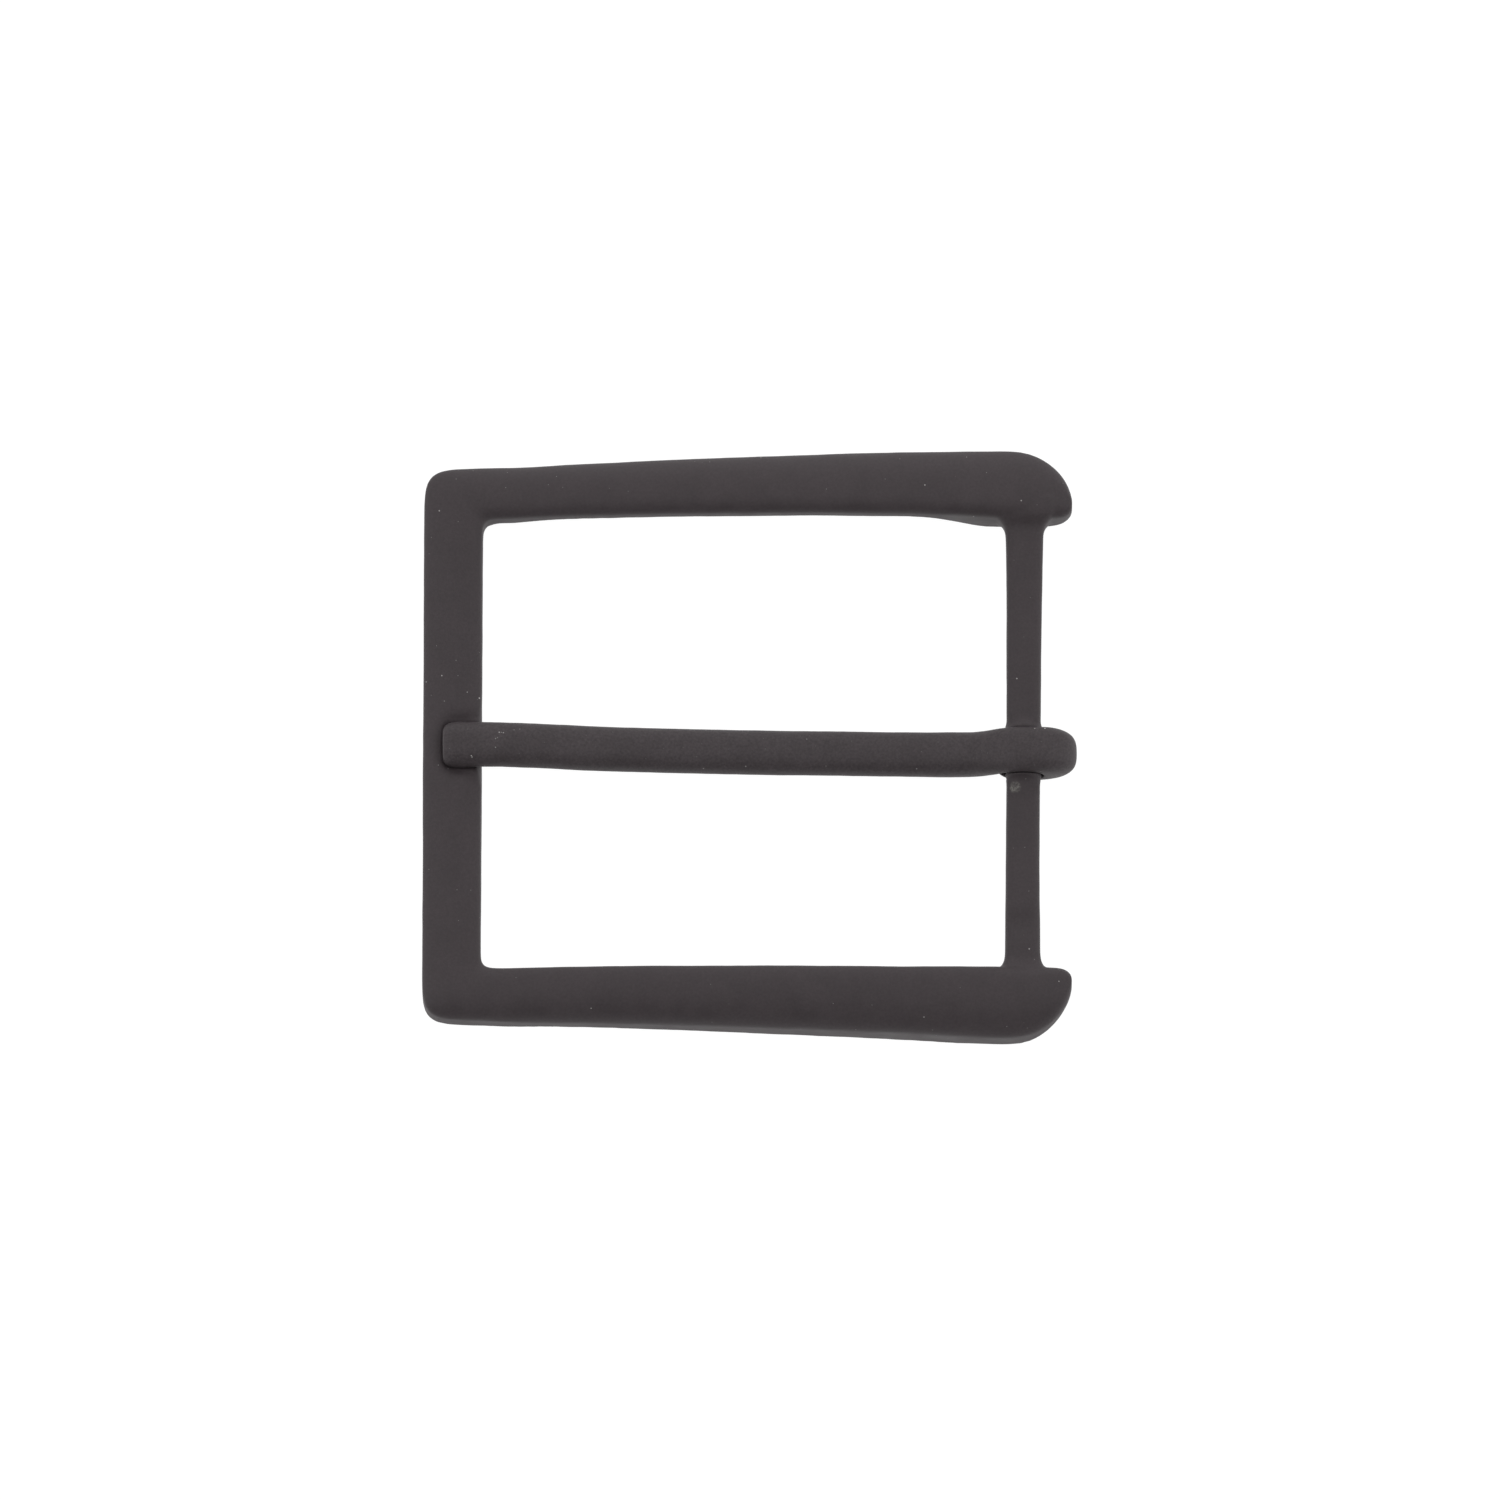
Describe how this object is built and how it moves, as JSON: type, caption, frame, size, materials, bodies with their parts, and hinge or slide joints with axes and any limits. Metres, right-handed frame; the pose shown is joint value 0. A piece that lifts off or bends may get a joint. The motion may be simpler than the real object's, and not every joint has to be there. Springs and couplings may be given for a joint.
{
  "type": "belt buckle",
  "caption": "Rectangular pin buckle for a dress belt: a domed, gently arched frame casting with a heel bar, and a hinged tongue that rests in a seat in the front bar.",
  "frame": {"origin": "centre of the bounding box on the resting plane, z = 0, on which the back of the front bar and of the two ears lie", "axes": "+Z out of the face that is seen when worn, +X from the front bar to the heel bar, +Y across the strap"},
  "size_m": [0.0514, 0.0472, 0.0053],
  "materials": {
    "coat": "matte warm-black coat on a zinc alloy casting, fine grain",
    "tongue_coat": "the same matte warm-black coat, slightly grainier"
  },
  "bodies": {
    "frame": {"frame": "coat"},
    "tongue": {"tongue": "tongue_coat"}
  },
  "joints": [
    {"name": "tongue_hinge", "type": "hinge", "parent": "frame", "child": "tongue", "pos_m": [0.02154, -0.00072, 0.00245], "axis": [0, 1, 0], "range_deg": [0, 180]}
  ]
}
